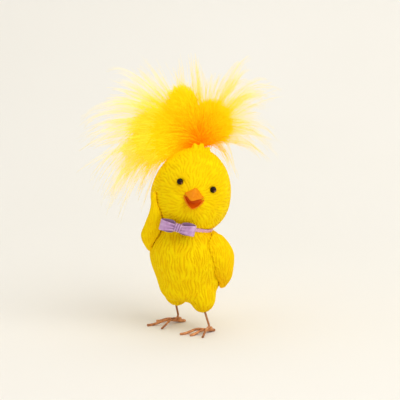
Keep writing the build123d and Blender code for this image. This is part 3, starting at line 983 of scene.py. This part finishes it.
# Each plume: the middle and the half sizes of its dense down, then its locks, which reach out past it. All
# are (right, away, up) in mm from the pivot. A lock has its tip, how far its middle stands over the straight
# line to the tip, how widely its fibres end, and how many wisps it holds.
PLUMES = {
    "left_plume": (
        (-17, 2, 7.5),
        (12, 6, 7.5),
        [
            ((-50, -2, 2), 9, 3.0, 11),
            ((-45, 2, 7), 9, 3.0, 13),
            ((-41, 4, 15), 8, 3.0, 11),
            ((-46, -4, -6), 10, 3.5, 6),
            ((-34, 0, 12), 7, 4.0, 13),
        ],
    ),
    "lower_left_plume": (
        (-20, -2, 0.5),
        (11.5, 5, 6.5),
        [
            ((-41, -4, -24), 13, 2.4, 16),
            ((-36, -3, -26), 13, 2.6, 12),
            ((-45, -3, -16), 12, 2.8, 12),
            ((-32, -5, -21), 11, 2.8, 12),
            ((-27, -5, -16), 8, 3.0, 10),
            ((-25, 2, -27), 12, 3.0, 4),
        ],
    ),
    "upper_left_plume": (
        (-13, 5, 11.5),
        (8, 6, 5.5),
        [
            ((-37, 6, 29), 6, 3.5, 10),
            ((-40, 8, 19), 6, 3.5, 10),
            ((-27, 8, 43), 4, 3.5, 3),
            ((-22, 7, 32), 5, 4.5, 7),
            ((-29, 4, 22), 5, 4.5, 11),
        ],
    ),
    "top_plume": (
        (-7, 0, 17.0),
        (5.5, 5.5, 7.0),
        [
            ((-10, 0, 33), 0, 3.5, 11),
            ((-1, 2, 36), 2, 2.5, 11),
            ((6, -3, 36), 3, 4.5, 3),
            ((-14, -4, 35), 2, 4.0, 4),
        ],
    ),
    "upper_right_plume": (
        (4, 3, 11.5),
        (5.5, 5.5, 6),
        [
            ((21, 5, 30), 9, 3.0, 10),
            ((16, 8, 36), 9, 4.0, 4),
            ((25, 6, 25), 9, 3.0, 8),
        ],
    ),
    "right_plume": (
        (6.0, 0, 8.5),
        (5, 5.5, 6.5),
        [
            ((28, -2, 23), 8, 2.5, 11),
            ((25, -4, 9), 5, 2.8, 10),
            ((31, 0, -4), 8, 2.5, 10),
            ((27, 4, 15), 6, 3.5, 10),
            ((15, -3, -10), 9, 2.5, 10),
            ((20, 5, -3), 8, 3.5, 6),
        ],
    ),
    "back_plume": (
        (-4, 12, 6),
        (13, 7, 7),
        [
            ((5, 30, 6), 8, 5.0, 14),
            ((-14, 29, 3), 9, 5.0, 14),
            ((16, 25, 2), 8, 4.0, 13),
            ((-28, 24, -4), 10, 4.5, 13),
            ((-4, 27, -8), 10, 5.0, 10),
            ((2, 24, 24), 2, 5.0, 13),
        ],
    ),
}
FLUFF = 1500  # short fibres in each plume's dense down
FLUFF_STEPS = 9  # points in a short fibre
FLUFF_LENGTH = (5.5, 10.0)  # mm
FLUFF_RADIUS = (0.11, 0.19)
ROOT_STEPS = 11
ROOT_RADIUS = (0.10, 0.17)
WISP = 10  # fibres in a wisp
WISP_STEPS = 17
WISP_RADIUS = (0.045, 0.075)
WISP_LOOSE = 0.3  # of a wisp's fibres stray from the others
SHADE_STRETCH = np.array((1.25, 1.1, 0.8))  # the dye runs furthest up
SHADE_BELOW = 1.2  # more distance for each mm below the pivot
SHADE_ENDS = np.array((3.5, 7.5, 12.0, 17.0, 26.0, 36.0, 48.0))  # mm from the pivot
SHADE_SCATTER = 1.6
FINEST = 0.015  # mm, the least radius of a fibre


def shade_of(points, rng, paler=0.0):
    """Slot of the down's colours at points from the pivot; paler adds mm of distance."""
    distance = np.linalg.norm(points * SHADE_STRETCH, axis=-1)
    distance = distance + SHADE_BELOW * np.maximum(0.0, -points[..., 2])
    noisy = distance + paler + rng.normal(0, SHADE_SCATTER, (distance.shape[0], 1))
    return np.searchsorted(SHADE_ENDS, noisy)


def down_flow(points):
    """The way that the down lies: out from the root, sinking as it goes."""
    reach = np.linalg.norm(points, axis=-1, keepdims=True) + 1e-6
    flow = points / reach
    flow = flow - np.array((0, 0, 1.0)) * 0.35 * np.clip(reach / 22.0, 0, 1.3)
    return flow / np.linalg.norm(flow, axis=-1, keepdims=True)


def ball_points(count, rng, shell):
    """Points in the unit ball, none nearer its middle than the shell's radius."""
    swarm = rng.normal(0, 1, (count, 3))
    swarm /= np.linalg.norm(swarm, axis=1, keepdims=True)
    return swarm * rng.uniform(shell**3, 1.0, (count, 1)) ** (1 / 3)


def fluff(centre, half, count, rng):
    """Short curled fibres that fill a cloud, lying along the down's flow."""
    middle = np.array(centre) + ball_points(count, rng, 0.45) * np.array(half)
    length = rng.uniform(*FLUFF_LENGTH, (count, 1))
    lines = np.empty((count, FLUFF_STEPS, 3))
    half_steps = FLUFF_STEPS // 2
    lines[:, half_steps] = middle
    curl = rng.normal(0, 0.30, (count, 3))
    for sign in (-1, 1):
        p = middle.copy()
        for k in range(1, half_steps + 1):
            way = down_flow(p) + curl * (0.4 + 0.25 * k) + rng.normal(0, 0.07, (count, 3))
            way /= np.linalg.norm(way, axis=1, keepdims=True)
            p = p + sign * way * length / (FLUFF_STEPS - 1)
            lines[:, half_steps + sign * k] = p
    taper = np.sin(math.pi * (0.06 + 0.9 * np.linspace(0, 1, FLUFF_STEPS)))[None, :] ** 0.6
    radii = rng.uniform(*FLUFF_RADIUS, (count, 1)) * taper
    return lines, radii


def roots_to_cloud(centre, half, count, rng):
    """Fibres from the root into a cloud, which carry the dyed colour out."""
    steps = np.linspace(0, 1, ROOT_STEPS)
    ends = np.array(centre) + ball_points(count, rng, 0.5) * np.array(half)
    roots = rng.normal(0, 0.7, (count, 3)) + np.array((0, 0, 1.2))
    reach = np.linalg.norm(ends, axis=1, keepdims=True)
    lift = np.array((0, 0, 1.0)) * reach * rng.uniform(0.10, 0.26, (count, 1))
    first = roots + ends * 0.3 + lift + rng.normal(0, 0.9, (count, 3))
    second = roots + ends * 0.7 + lift * 0.9 + rng.normal(0, 1.0, (count, 3))
    lines = bezier(roots, first, second, ends, steps)
    swell = 0.45 + 0.8 * np.sin(steps * math.pi * 0.9)
    taper = np.where(steps > 0.8, (1.03 - steps) / 0.23, 1.0)
    radii = rng.uniform(*ROOT_RADIUS, (count, 1)) * swell[None, :] * taper[None, :]
    return lines, np.maximum(radii, FINEST)


def fading(tip):
    """Extra mm of distance for a lock's shade: high and right ones are bleached, low left ones stay dyed."""
    return float(np.clip((tip[2] + 2.0 * max(tip[0], 0.0)) / 5.0, -4.0, 6.0))


# How far a wisp may pass the CAD's box: a share of each of its sides, and a length in mm
ROOM_SHARE = 0.03
ROOM_LENGTH = 9.0


def room(corner, sign):
    """How far the down may reach from the pivot along each axis, towards a corner of the CAD's box."""
    sides = np.subtract(cad_box[1], cad_box[0])
    return (np.array(corner) + sign * ROOM_SHARE * sides) / MM + sign * ROOM_LENGTH - tuft_pivot


room_low = room(cad_box[0], -1)
room_high = room(cad_box[1], 1)


def in_tuft(points):
    """From (right, away, up) of the pivot to the frame's millimetres."""
    return placed(points, tuft_pivot, tuft_right, tuft_away, up)


def within_room(lines):
    """Draws a wisp in towards the pivot if any of it reaches too far."""
    reach = in_tuft(lines) - tuft_pivot
    return lines / max(1.0, (reach / room_low).max(), (reach / room_high).max())


def shortened(line, share):
    """The first share of a line, sampled again with as many points."""
    t = share * (len(line) - 1)
    low = np.minimum(t.astype(int), len(line) - 2)
    return line[low] * (1 - (t - low))[:, None] + line[low + 1] * (t - low)[:, None]


def wisps(tip, stand, spread, count, rng):
    """Locks of fine fibres that leave the cloud, hang together and curl to their tips."""
    steps = np.linspace(0, 1, WISP_STEPS)
    all_lines, all_radii = [], []
    for _ in range(count):
        reach = 1.08 - 0.5 * rng.uniform(0, 1) ** 2
        end = (np.array(tip, float) + rng.normal(0, 1, 3) * spread) * reach
        rise = stand * rng.uniform(0.6, 1.4) * reach
        control = end * 0.62
        control[2] = end[2] / 2 + 2 * rise
        control = control + rng.normal(0, 1.4, 3)
        loose = np.where(rng.uniform(0, 1, (WISP, 1)) < WISP_LOOSE, 1.7, 0.4)
        roots = rng.normal(0, 0.8, (WISP, 3)) + np.array((0, 0, 1.0))
        ends = end + rng.normal(0, 1, (WISP, 3)) * loose
        first = roots / 3 + control * 2 / 3 + rng.normal(0, 1.6, (WISP, 3))
        second = ends / 3 + control * 2 / 3 + rng.normal(0, 0.6, (WISP, 3)) * (0.5 + loose)
        lines = bezier(roots, first, second, ends, steps)
        wave = np.sin(rng.uniform(3.0, 5.5) * steps + rng.uniform(0, 6.28)) * steps**1.5
        lines = lines + wave[None, :, None] * rng.normal(0, 1.1, 3)
        shares = rng.uniform(0.72, 1.0, WISP)
        lines = np.array([shortened(line, steps * share) for line, share in zip(lines, shares)])
        all_lines.append(within_room(lines))
        finer = 1.0 - 0.045 * fading(tip)
        taper = (1.12 - steps)[None, :] ** 0.5
        all_radii.append(rng.uniform(*WISP_RADIUS, (WISP, 1)) * finer * taper)
    return np.concatenate(all_lines), np.concatenate(all_radii)


CORE_SIZE = 0.8  # of the dense down's half sizes
CORE_LUMPS = 0.16


def cloud_core(centre, half):
    """Closed lump inside a plume's dense down, which its fibres cover."""
    bm = bmesh.new()
    bmesh.ops.create_icosphere(bm, subdivisions=4, radius=1)
    points = np.array([v.co for v in bm.verts])
    faces = np.array([[v.index for v in f.verts] for f in bm.faces])
    bm.free()
    coarse = np.array([noise.noise(Vector(p * 2.3 + centre)) for p in points])
    fine = np.array([noise.noise(Vector(p * 7)) for p in points])
    swell = 1 + CORE_LUMPS * (coarse + 0.4 * fine)
    return np.array(centre) + points * np.array(half) * CORE_SIZE * swell[:, None], faces


def plume(name, centre, half, locks, rng):
    """A plume's visible down: a core, dense short fibres, fibres from the root, and wisps."""
    count = FLUFF
    groups = [
        (*fluff(centre, half, count, rng), 0.0),
        (*roots_to_cloud(centre, half, count // 2, rng), 0.0),
        *((*wisps(*lock, rng), fading(lock[0])) for lock in locks),
    ]
    core_points, core_faces = cloud_core(centre, half)
    core_shade = shade_of(core_points[core_faces].mean(axis=1, keepdims=True), rng)
    verts, faces, shades = [core_points], [core_faces], [core_shade.ravel()]
    start = len(core_points)
    for lines, radii, paler in groups:
        tube_verts, tube_faces, tube_shades = tubes(lines, radii, shade_of(lines, rng, paler))
        verts.append(tube_verts)
        faces.append(tube_faces + start)
        shades.append(tube_shades)
        start += len(tube_verts)
    points = in_tuft(np.concatenate(verts))
    mesh = mesh_from_arrays(f"{name}_down", points, np.concatenate(faces), np.concatenate(shades))
    for mat in down:
        mesh.materials.append(mat)
    obj = new_object(f"{name}_down", mesh)
    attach(obj, "tuft")
    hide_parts(name)


down = down_materials()
tuft_rng = np.random.default_rng(SEED + 20)
for plume_name, (plume_centre, plume_half, plume_locks) in PLUMES.items():
    plume(plume_name, plume_centre, plume_half, plume_locks, tuft_rng)


# ---------------------------------------------------------------- studio
CAMERA_AZIMUTH = math.radians(22.0)
CAMERA_DISTANCE = 0.480
CAMERA_SIDE = 0.0025
CAMERA_HEIGHT = 0.130
CAMERA_PITCH = math.radians(8.9)
CAMERA_FIELD = math.radians(19.6875)
# The paper's sweep, in metres from the part: level from the front, then bent up to a wall behind
PAPER_FRONT = -1.2
PAPER_BACK = 0.55
PAPER_BEND = 0.35
PAPER_BEND_STEPS = 12
PAPER_HEIGHT = 1.2
PAPER_HALF_WIDTH = 1.4
PAPER_DARK = (0.825, 0.805, 0.75)
PAPER_PALE = (0.845, 0.825, 0.78)
LIGHT_TARGET = (0, 0, 0.06)
LIGHT_SIZE = 1.1
# Each lamp's place (right, away, up) in metres as the camera sees it, its power and its colour
LIGHTS = {
    "key": ((0.55, -0.50, 0.80), 6.0, (1.0, 0.98, 0.95)),
    "fill": ((-0.75, -0.45, 0.40), 0.8, (1.0, 0.98, 0.96)),
    "top": ((0.0, 0.20, 1.00), 2.4, (1.0, 1.0, 1.0)),
}
AIR_COLOUR = (1.0, 0.985, 0.95)
AIR_STRENGTH = 0.60


def from_camera_side(right, away, z):
    """Place in the frame, in metres, of a point that is right and away as the camera sees it."""
    c, s = math.cos(CAMERA_AZIMUTH), math.sin(CAMERA_AZIMUTH)
    return Vector((right * c - away * s, right * s + away * c, z))


def studio():
    """Sheet of pale paper, swept up behind the part."""
    floor_mat, tree, shader = material("studio_paper", PAPER_PALE, roughness=0.9)
    tint = ramp(tree, noise_value(tree, scale=3, detail=2), [(0.3, PAPER_DARK), (0.7, PAPER_PALE)])
    tree.links.new(tint, shader.inputs["Base Color"])
    profile = [(PAPER_FRONT, 0.0), (PAPER_BACK - PAPER_BEND, 0.0)]
    for k in range(1, PAPER_BEND_STEPS + 1):
        a = math.pi / 2 * k / PAPER_BEND_STEPS
        profile.append((PAPER_BACK - PAPER_BEND + PAPER_BEND * math.sin(a), PAPER_BEND * (1 - math.cos(a))))
    profile.append((PAPER_BACK, PAPER_HEIGHT))
    heading = np.array((-math.sin(CAMERA_AZIMUTH), math.cos(CAMERA_AZIMUTH)))
    side = np.array((math.cos(CAMERA_AZIMUTH), math.sin(CAMERA_AZIMUTH)))
    verts = []
    for away, z in profile:
        for sign in (-1, 1):
            x, y = heading * away + side * PAPER_HALF_WIDTH * sign
            verts.append((x / MM, y / MM, z / MM))
    faces = [(2 * k, 2 * k + 1, 2 * k + 3, 2 * k + 2) for k in range(len(profile) - 1)]
    mesh = mesh_from_arrays("studio_sweep", verts, faces)
    mesh.materials.append(floor_mat)
    sweep = new_object("studio_sweep", mesh)


def area_light(name, place, power, colour):
    """Round soft lamp that points at the part and can't be seen itself."""
    light = bpy.data.lights.new(name, "AREA")
    light.shape = "DISK"
    light.size = LIGHT_SIZE
    light.energy = power
    light.color = colour
    obj = new_object(name, light)
    obj.location = place
    obj.rotation_euler = (Vector(LIGHT_TARGET) - place).to_track_quat("-Z", "Y").to_euler()
    obj.visible_camera = False


def camera():
    data = bpy.data.cameras.new("camera")
    data.sensor_width = 36
    data.angle = CAMERA_FIELD
    data.clip_start = 0.01
    obj = new_object("camera", data)
    obj.location = from_camera_side(CAMERA_SIDE, -CAMERA_DISTANCE, CAMERA_HEIGHT)
    obj.rotation_euler = (math.pi / 2 - CAMERA_PITCH, 0, CAMERA_AZIMUTH)
    bpy.context.scene.camera = obj


studio()
camera()
for light_name, (light_place, light_power, light_colour) in LIGHTS.items():
    area_light(light_name, from_camera_side(*light_place), light_power, light_colour)

world = bpy.data.worlds.new("studio_air")
world.use_nodes = True
air = world.node_tree.nodes["Background"]
air.inputs["Color"].default_value = (*AIR_COLOUR, 1)
air.inputs["Strength"].default_value = AIR_STRENGTH
bpy.context.scene.world = world
bpy.context.scene.view_settings.view_transform = "Standard"
